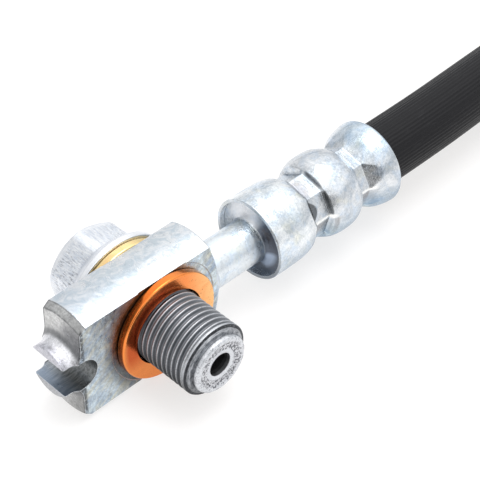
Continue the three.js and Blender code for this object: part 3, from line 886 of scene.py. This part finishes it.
def waist_profile(along):
    """Radius of the sleeve before the jaws: its full radius less a bell curve at each waist. Past
    the second waist the curve rises to the wider bulge at the mouth."""
    at, before, after = FIRST_WAIST
    first = np.exp(-(((along - at) / np.where(along < at, before, after)) ** 2))
    at, before, after = SECOND_WAIST
    second = np.exp(-(((along - at) / before) ** 2))
    tube = SLEEVE_RADIUS - (SLEEVE_RADIUS - WAIST_RADIUS) * (first + second)
    rise = np.exp(-(((along - at) / after) ** 2))
    bulge = MOUTH_BULGE_RADIUS - (MOUTH_BULGE_RADIUS - WAIST_RADIUS) * rise
    return np.where(along < at, tube, bulge)


def jaw_marks(radius, along, angle, turn):
    """Presses eight flats into each waist. A jaw is a plane square to the radius; beyond its nose it
    slopes away, and a parabola rounds its edge on the metal."""
    pitch = np.pi / 4
    off = (angle - turn + pitch / 2) % pitch - pitch / 2
    for start, end, before, after in JAWS:
        height = np.maximum((start - along) / before, 0) + np.maximum((along - end) / after, 0)
        radius = soft_min(radius, (JAW_FLAT_RADIUS + height) / np.cos(off), 0.06)
    return radius


def crimped_sleeve(turn, seed):
    """Rings from the rim over the outside to the mouth and back through the inside."""
    angle = around(SLEEVE_COLUMNS)
    outside = np.arange(RIM_LENGTH, SLEEVE_LENGTH - MOUTH_ROUNDING, 0.12)[:, None]
    waves = [(3, 0.07, 0.02), (5, -0.11, 0.015), (9, 0.2, 0.008)]
    fade = smooth(0.0, 2.0, outside) * smooth(0.8, 2.5, SLEEVE_LENGTH - outside)
    radius = waist_profile(outside) + ripple(angle, outside, waves, seed) * fade
    radius = jaw_marks(radius, outside, angle, turn)
    rim = rounded([
        (0.6, POCKET_RADIUS - 0.001, 0), (0.0, POCKET_RADIUS, 0.10), (0.0, SLEEVE_RADIUS, 0.2),
        (0.5, SLEEVE_RADIUS, 0),
    ])[1:-1]
    rim = rim[(rim[:, 0] < RIM_LENGTH - 0.01) | (rim[:, 1] < SLEEVE_RADIUS - 0.3)]
    mouth = rounded([
        (SLEEVE_LENGTH - 1.0, MOUTH_BULGE_RADIUS - 0.05, 0),
        (SLEEVE_LENGTH, MOUTH_BULGE_RADIUS - 0.02, MOUTH_ROUNDING),
        (SLEEVE_LENGTH, MOUTH_INNER_RADIUS, 0.12),
        (SLEEVE_LENGTH - LIP_LENGTH, MOUTH_INNER_RADIUS, 0),
    ], steps=8)
    mouth = mouth[mouth[:, 0] > SLEEVE_LENGTH - MOUTH_ROUNDING + 0.05]
    lip = [SLEEVE_LENGTH - LIP_LENGTH, MOUTH_INNER_RADIUS]
    hidden = np.arange(SLEEVE_LENGTH - LIP_LENGTH, POCKET_DEPTH, -0.6)
    inside = np.column_stack([hidden, waist_profile(hidden) - SLEEVE_WALL])
    pocket = rounded([
        (POCKET_DEPTH, inside[-1, 1], 0), (POCKET_DEPTH, POCKET_RADIUS, 0.1), (0.6, POCKET_RADIUS, 0)
    ])
    back = np.vstack([finer(mouth, 0.25), lip, inside, finer(pocket, 0.6)])
    return np.concatenate([
        turned(round_x, rim, angle), round_x(outside, radius, angle), turned(round_x, back, angle)
    ])


def stem_profile(neck):
    """Stem from the neck over the flared collar and the barbed nipple to its tip, from the rim. The
    flare is a quarter turn: a sine along and a cosine across."""
    swing = np.linspace(0, np.pi / 2, 12)
    flare = np.column_stack([
        FLARE_START + FLARE_LENGTH * np.sin(swing), neck + (COLLAR_RADIUS - neck) * (1 - np.cos(swing))
    ])
    barbs = []
    for i in range(BARB_COUNT):
        start = POCKET_DEPTH + (i + 0.5) * BARB_PITCH
        barbs += [(start, NIPPLE_RADIUS, 0), (start, BARB_RADIUS, 0.05),
                  (start + BARB_LENGTH, NIPPLE_RADIUS, 0)]
    nipple = rounded([
        (FLARE_START + FLARE_LENGTH, COLLAR_RADIUS, 0), (POCKET_DEPTH, COLLAR_RADIUS, 0.1),
        (POCKET_DEPTH, NIPPLE_RADIUS, 0), *barbs,
        (NIPPLE_REACH - 0.4, NIPPLE_RADIUS, 0.1), (NIPPLE_REACH, NIPPLE_RADIUS - 0.4, 0.1),
        (NIPPLE_REACH, 0.01, 0),
    ])
    return np.vstack([flare, nipple[1:]])


def banjo_fitting():
    """Bar turned about X to the profile of spigot, block, shoulder, neck and stem. Then the two
    faces are milled flat, the spot faces, bolt hole and fork slot are cut and the passage is
    drilled."""
    root = arc((BLOCK_LEFT - SPIGOT_FILLET, SPIGOT_RADIUS + SPIGOT_FILLET), SPIGOT_FILLET, 270, 360, 14)
    front = rounded([(SPIGOT_TIP, 0.01, 0), (SPIGOT_TIP, SPIGOT_RADIUS, 0.3), (*root[0], 0)])
    block = rounded([
        (*root[-1], 0),
        (BLOCK_LEFT, BAR_RADIUS - CHAMFER_DEPTH, 0.07),
        (FACE_LEFT, BAR_RADIUS, 0.07),
        (BLOCK_RIGHT, BAR_RADIUS, 0.25),
        (SHOULDER_END, NECK_RADIUS + NECK_FILLET, 0),
    ])
    fillet = arc((SHOULDER_END + NECK_FILLET, NECK_RADIUS + NECK_FILLET), NECK_FILLET, 180, 270, 10)
    stem = stem_profile(NECK_RADIUS) + [SLEEVE_START, 0]
    profile = finer(np.vstack([front, root[1:], block[1:-1], fillet, stem]), 0.5)
    body = shell("banjo_fitting_turned", turned(round_x, profile, around(BANJO_COLUMNS)))

    far = CUTTER_REACH
    spot = HALF_THICKNESS - SPOT_DEPTH
    beside = [(-far, -far), (SHOULDER_END + 2, -far), (SHOULDER_END + 2, far), (-far, far)]
    bend = np.radians(np.linspace(-90, 90, 49))
    slot = np.vstack([
        [(-far, -HALF_SLOT)],
        np.column_stack([SLOT_CENTRE + HALF_SLOT * np.cos(bend), HALF_SLOT * np.sin(bend)]),
        [(-far, HALF_SLOT)],
    ])
    return cut_away(body, [
        prism("front_mill", beside, -far, -HALF_THICKNESS),
        prism("rear_mill", beside, HALF_THICKNESS, far),
        rod("front_spot", round_y, -far, -spot, SPOT_RADIUS, 200),
        rod("rear_spot", round_y, spot, far, SPOT_RADIUS, 200),
        rod("bolt_drill", round_y, -far, far, BOLT_HOLE_RADIUS, 200),
        prism("fork_mill", slot, -far, far),
        rod("passage_drill", round_x, 0.0, 2 * far, FLUID_RADIUS, 32),
    ], BANJO_SHARP_ANGLE)


def thread_radius(along, angle):
    """Radius of a right-handed thread: a V groove whose depth follows the distance from the nearest
    crest, once every pitch. The groove fades out before the turned end and before the waist."""
    turn = along / THREAD_PITCH + angle / (2 * np.pi)
    away = np.abs((turn + 0.35) % 1.0 - 0.5) * 2
    groove = THREAD_DEPTH * smooth(0.07, 0.80, 1 - away)
    fade = smooth(THREAD_END + 0.85, THREAD_END + 1.25, along)
    fade = fade * smooth(-WAIST_END - 0.05, -WAIST_END - 0.65, along)
    return THREAD_RADIUS - groove * fade


def hexagon(angle, across, turn):
    """Radius of a hexagon at an angle, with a corner at the turn."""
    off = (angle - turn) % (np.pi / 3) - np.pi / 6
    return across / 2 / np.cos(off)


def banjo_bolt():
    """Rings from the bottom of the bore over the tip, thread, waisted shank, flange and hexagon to
    the head's top. Two holes are drilled across through the waist."""
    angle = around(BOLT_COLUMNS)
    tip = finer(rounded([
        (BOLT_BORE_END, 0.01, 0),
        (BOLT_BORE_END, BOLT_BORE_RADIUS, 0.1),
        (BOLT_TIP + 0.34, BOLT_BORE_RADIUS, 0.06),
        (BOLT_TIP + 0.20, 2.55, 0.2),
        (BOLT_TIP + 0.34, 2.75, 0.1),
        (BOLT_TIP + 0.34, 3.6, 0.1),
        (BOLT_TIP + 0.04, 3.95, 0.15),
        (BOLT_TIP, 4.35, 0.15),
        (BOLT_TIP + 0.22, 4.74, 0.2),
        (BOLT_TIP + 0.80, 4.76, 0.2),
        (BOLT_TIP + 0.92, PIN_RADIUS, 0.06),
        (THREAD_END, PIN_RADIUS, 0.05),
        (THREAD_END, 5.22, 0.08),
        (THREAD_END + 0.40, 5.50, 0.05),
        (RUN_OUT_END, 5.86, 0.06),
        (THREAD_END + 0.60, 5.93, 0),
    ]), 0.4)[:-1]
    dents = ripple(angle, 0, [(11, 0, 0.018), (17, 0, 0.014), (29, 0, 0.010)], 31)
    on_rim = smooth(3.6, 4.4, tip[:, 1:]) * smooth(THREAD_END - 0.1, BOLT_TIP + 0.8, tip[:, :1])
    threaded = np.arange(THREAD_END + 0.62, -WAIST_END, 0.06)[:, None]
    thread = soft_min(thread_radius(threaded, angle), THREAD_RADIUS, 0.02)
    shank = finer(rounded([
        (-WAIST_END, THREAD_RADIUS, 0), (-HALF_WAIST, BOLT_WAIST_RADIUS, 0.1),
        (HALF_WAIST, BOLT_WAIST_RADIUS, 0.1), (WAIST_END, THREAD_RADIUS, 0.1),
        (HEAD_SEAT, THREAD_RADIUS, 0.1), (HEAD_SEAT, FLANGE_RADIUS, 0.22),
        (FLANGE_TOP, FLANGE_RADIUS, 0.25), (CONE_TOP, CONE_TOP_RADIUS, 0),
    ]), 0.25)
    flats = soft_min(hexagon(angle, HEX_ACROSS_FLATS, HEX_TURN), HEX_CORNER_RADIUS, 0.10)
    over_hexagon = -soft_min(-shank[:, 1:], -flats, 0.12)
    cone = np.where(shank[:, :1] > FLANGE_TOP - 0.1, over_hexagon, shank[:, 1:])
    end_radius = HEX_END_SHARE * HEX_ACROSS_FLATS / 2
    side = np.linspace(CONE_TOP, HEAD_TOP, 50)[1:, None]
    chamfered = soft_min(flats, end_radius + (HEAD_TOP - side) / HEX_CHAMFER_SLOPE, 0.12)
    dish = HEAD_TOP - HEAD_DISH_DEPTH
    top = finer(rounded([
        (HEAD_TOP, end_radius, 0), (HEAD_TOP, 5.2, 0.2), (dish, 4.8, 0.2), (dish, 0.01, 0)
    ]), 0.6)[1:]
    body = shell("banjo_bolt_threaded", np.concatenate([
        round_y(tip[:, :1], tip[:, 1:] + dents * on_rim, angle),
        round_y(threaded, thread, angle),
        round_y(shank[:, :1], cone, angle),
        round_y(side, chamfered, angle),
        turned(round_y, top, angle),
    ]))
    return cut_away(body, [
        rod("x_drill", round_x, -8.0, 8.0, CROSS_HOLE_RADIUS, 40),
        rod("z_drill", round_z, -8.0, 8.0, CROSS_HOLE_RADIUS, 40),
    ], BOLT_SHARP_ANGLE)


def washer(name, back, seed):
    """Flat ring with rounded outer edges and slightly uneven faces, from a back plane towards -Y."""
    angle = around(WASHER_COLUMNS)
    inner, half = BOLT_HOLE_RADIUS, WASHER_THICKNESS / 2
    profile = finer(rounded([
        (half, inner, 0), (0.0, inner, 0.12), (0.0, WASHER_RADIUS, 0.32),
        (WASHER_THICKNESS, WASHER_RADIUS, 0.32), (WASHER_THICKNESS, inner, 0.12), (half, inner, 0),
    ], steps=6)[:-1], 0.3)
    depth, radius = profile[:, :1], profile[:, 1:]
    wave = ripple(angle, radius, [(2, 0.03, 0.008), (5, 0.1, 0.006)], seed)
    edge = smooth(inner + 0.2, inner + 1.0, radius) * smooth(WASHER_RADIUS, WASHER_RADIUS - 1.0, radius)
    along = back - depth + np.sign(depth - half) * np.abs(wave) * edge
    return shell(name, round_y(along, radius, angle), wrap=True)


def spline(points, per_span):
    """Centripetal Catmull-Rom curve: each span is a cubic whose end tangents come from its
    neighbours, weighted by the square roots of the distances."""
    p0, p1, p2, p3 = points[:-3], points[1:-2], points[2:-1], points[3:]
    roots = np.sqrt(np.linalg.norm(np.diff(points, axis=0), axis=1))[:, None]
    before, here, after = roots[:-2], roots[1:-1], roots[2:]
    start = ((p1 - p0) / before - (p2 - p0) / (before + here) + (p2 - p1) / here) * here
    end = ((p2 - p1) / here - (p3 - p1) / (here + after) + (p3 - p2) / after) * here
    t = np.linspace(0, 1, per_span, endpoint=False)[None, :, None]
    p1, p2, start, end = p1[:, None], p2[:, None], start[:, None], end[:, None]
    curve = (
        (2 * t**3 - 3 * t**2 + 1) * p1 + (t**3 - 2 * t**2 + t) * start
        + (-2 * t**3 + 3 * t**2) * p2 + (t**3 - t**2) * end
    )
    return np.vstack([curve.reshape(-1, 3), points[-2]])


def hose_line():
    """Centre line from inside the first sleeve to inside the far one."""
    inset = SLEEVE_LENGTH - POCKET_DEPTH - HOSE_CLEARANCE
    straight = np.outer([6, 16, inset, inset + 6], [1, 0, 0])
    return spline(MOUTH + np.vstack([-straight[::-1], ROUTE, ROUTE[-1] + straight]), 8)


def hose():
    """Tube carried along the centre line: rings square to it, with the radius of the free hose or,
    in a sleeve, of the space that the crimp leaves. Fine ribs run along the free part."""
    line = hose_line()
    angle = around(HOSE_COLUMNS)
    forward = np.gradient(line, axis=0)
    forward /= np.linalg.norm(forward, axis=1)[:, None]
    side = np.cross([0, 0, 1.0], forward)
    side /= np.linalg.norm(side, axis=1)[:, None]
    over = np.cross(forward, side)
    spokes = np.cos(angle)[..., None] * side[:, None] + np.sin(angle)[..., None] * over[:, None]
    length = np.concatenate([[0], np.cumsum(np.linalg.norm(np.diff(line, axis=0), axis=1))])
    near, far = MOUTH[0] - line[:, 0], line[:, 0] - (FAR_RIM[0] - SLEEVE_LENGTH)
    depth = np.maximum(near, far)
    space = waist_profile(SLEEVE_LENGTH - np.maximum(depth, LIP_LENGTH)) - SLEEVE_WALL
    inside = smooth(LIP_LENGTH, LIP_LENGTH + 0.6, depth)
    outer = HOSE_RADIUS * (1 - inside) + (space - HOSE_CLEARANCE) * inside
    waves = [(17, 0.002, 0.010), (31, -0.003, 0.010), (7, 0.004, 0.014)]
    ribs = HOSE_RIB_HEIGHT * np.cos(HOSE_RIBS * angle) + ripple(angle, length[:, None], waves, 5)
    outer = outer[:, None] + (ribs - HOSE_RIB_HEIGHT) * (1 - inside)[:, None]
    on_nipple = depth > SLEEVE_LENGTH - NIPPLE_REACH - HOSE_CLEARANCE
    bore = np.where(on_nipple, BARB_RADIUS + HOSE_CLEARANCE, HOSE_BORE_RADIUS)
    back = np.append(np.arange(len(line) - 1, 0, -8), 0)
    rings = np.concatenate([
        line[:, None] + outer[..., None] * spokes,
        line[back, None] + bore[back, None, None] * spokes[back],
    ])
    return shell("hose_ribbed", rings, wrap=True), line


def pipe_fitting():
    """Female end turned about X in the far sleeve's frame, mouth first, then the stem. The hexagon
    is a band of the same rings. Its distances run back from the sleeve's rim."""
    angle = around(PIPE_COLUMNS)
    mouth, body = PIPE_MOUTH, PIPE_BODY_RADIUS
    groove, groove_end = mouth + PIPE_GROOVE[0], mouth + PIPE_GROOVE[1]
    hex_start, hex_end = PIPE_HEX
    bore = finer(rounded([
        (mouth + 14.2, 0.03, 0), (mouth + 14.2, FLUID_RADIUS, 0), (mouth + 12.0, PIPE_BORE_RADIUS, 0.1),
        (mouth + 0.6, PIPE_BORE_RADIUS, 0.15), (mouth, PIPE_BORE_RADIUS + 0.6, 0.12),
        (mouth, body - 0.5, 0.1), (mouth + 0.5, body, 0.2), (groove, body, 0.12),
        (groove, PIPE_GROOVE_RADIUS, 0.12), (groove_end, PIPE_GROOVE_RADIUS, 0.12),
        (groove_end, body, 0.12), (hex_start, body, 0),
    ]), 0.5)
    along = np.linspace(hex_start, hex_end, 60)[:, None]
    flats = soft_min(hexagon(angle, PIPE_HEX_ACROSS_FLATS, 0), PIPE_HEX_CORNER_RADIUS, 0.12)
    from_end = np.minimum(along - hex_start, hex_end - along)
    band = soft_min(flats, PIPE_HEX_END_RADIUS + from_end / HEX_CHAMFER_SLOPE, 0.15)
    neck = rounded([
        (hex_end, PIPE_HEX_END_RADIUS, 0), (hex_end, PIPE_NECK_RADIUS, 0.5),
        (FLARE_START, PIPE_NECK_RADIUS, 0),
    ])[1:]
    rest = finer(np.vstack([neck, stem_profile(PIPE_NECK_RADIUS)[1:]]), 0.5)
    return np.concatenate([
        turned(round_x, bore, angle), round_x(along, band, angle), turned(round_x, rest, angle)
    ])


def turned_round(rings):
    """From the far sleeve's own frame, where it opens towards -X, to its place in the assembly."""
    return rings * np.array([-1.0, -1.0, 1.0]) + FAR_RIM


zinc_banjo = zinc_on_banjo()
zinc_sleeve = zinc_on_sleeve()
zinc_bolt = zinc_on_bolt()
copper = bright_copper()
rubber = ribbed_rubber()

hose_piece, hose_centre = hose()
finished(hose_piece, rubber, "hose")
near_rings = crimped_sleeve(NEAR_JAW_TURN, 11) + [SLEEVE_START, 0, 0]
near_sleeve = shell("banjo_sleeve_crimped", near_rings, wrap=True)
finished(near_sleeve, zinc_sleeve, "banjo_sleeve")
far_rings = turned_round(crimped_sleeve(FAR_JAW_TURN, 12))
far_sleeve = shell("pipe_sleeve_crimped", far_rings, wrap=True)
finished(far_sleeve, zinc_sleeve, "pipe_sleeve")
finished(banjo_fitting(), zinc_banjo, "banjo_fitting")
finished(banjo_bolt(), zinc_bolt, "banjo_bolt")
front_washer = washer("front_washer_copper", FRONT_WASHER_BACK, 21)
finished(front_washer, copper, "front_copper_washer")
rear_washer = washer("rear_washer_copper", REAR_WASHER_FACE, 22)
finished(rear_washer, copper, "rear_copper_washer")
pipe_end = shell("pipe_fitting_turned", turned_round(pipe_fitting()))
finished(pipe_end, zinc_sleeve, "pipe_fitting")


# Studio

def studio_floor():
    """White floor. The camera, glossy and transmission rays see part of its white as light of its
    own, so that the object's shadow stays on it but is faint."""
    mesh = bpy.data.meshes.new("studio_floor")
    wide = FLOOR_HALF_WIDTH
    corners = [(-wide, -wide, 0), (wide, -wide, 0), (wide, wide, 0), (-wide, wide, 0)]
    mesh.from_pydata(corners, [], [(0, 1, 2, 3)])
    made = bpy.data.objects.new("studio_floor", mesh)
    bpy.context.scene.collection.objects.link(made)
    white = Finish("white_floor")
    rays = white.node("ShaderNodeLightPath").outputs
    seen = white.most(rays["Is Camera Ray"], rays["Is Glossy Ray"])
    seen = white.most(seen, rays["Is Transmission Ray"])
    white.set(color=(0.40, 0.40, 0.405, 1), roughness=0.9, specular=0.0)
    white.set(glow=(1.0, 0.985, 0.97, 1), glow_strength=white.times(seen, FLOOR_LIFT))
    mesh.materials.append(white.material)


def studio_world():
    """Light tent: brighter overhead than at the sides, with a dim opening low on the camera's side
    and the back left a little darker."""
    world = bpy.data.worlds.new("light_tent")
    bpy.context.scene.world = world
    world.use_nodes = True
    tent = Nodes(world.node_tree)
    way = tent.node("ShaderNodeTexCoord").outputs["Generated"]
    ramp = tent.node("ShaderNodeValToRGB", {0: tent.axes(way)["Z"]})
    heights = ramp.color_ramp.elements
    heights[0].color = (0.56, 0.575, 0.60, 1)
    heights[1].color = (1.0, 1.0, 1.0, 1)
    for position, level in ((0.3, 0.70), (0.58, 0.98)):
        heights.new(position).color = (level * 0.98, level * 0.99, level, 1)
    strength = TENT_LEVEL
    for aim, edge, middle, darkest in ((CAMERA_SIDE, 0.86, 0.95, 0.08), (BACK_LEFT, 0.6, 1.0, 0.70)):
        aim = tuple(np.array(aim) / np.linalg.norm(aim))
        toward = tent.node("ShaderNodeVectorMath", {0: way, 1: aim}, operation="DOT_PRODUCT")
        dim = tent.range(toward.outputs["Value"], edge, middle, 1.0, darkest, "SMOOTHSTEP")
        strength = tent.times(dim, strength)
    background = world.node_tree.nodes["Background"]
    tent.fill(background, {"Color": ramp.outputs[0], "Strength": strength})


def softbox(name, place, aim, size, power):
    """Rectangular lamp at a place, turned towards a point."""
    data = bpy.data.lights.new(name, "AREA")
    data.shape = "RECTANGLE"
    data.size, data.size_y = size
    data.energy = power
    lamp = bpy.data.objects.new(name, data)
    bpy.context.scene.collection.objects.link(lamp)
    back = np.subtract(place, aim)
    back = back / np.linalg.norm(back)
    right = np.cross([0, 0, 1.0], back)
    right = right / np.linalg.norm(right)
    up = np.cross(back, right)
    turn = Matrix((right.tolist(), up.tolist(), back.tolist())).transposed().to_4x4()
    lamp.matrix_world = Matrix.Translation(place) @ turn


studio_floor()
studio_world()
softbox("top_softbox", (0.14, -0.02, 0.70), (0.02, 0, 0), (0.50, 0.42), 1.7)
bpy.context.scene.view_settings.view_transform = "Standard"
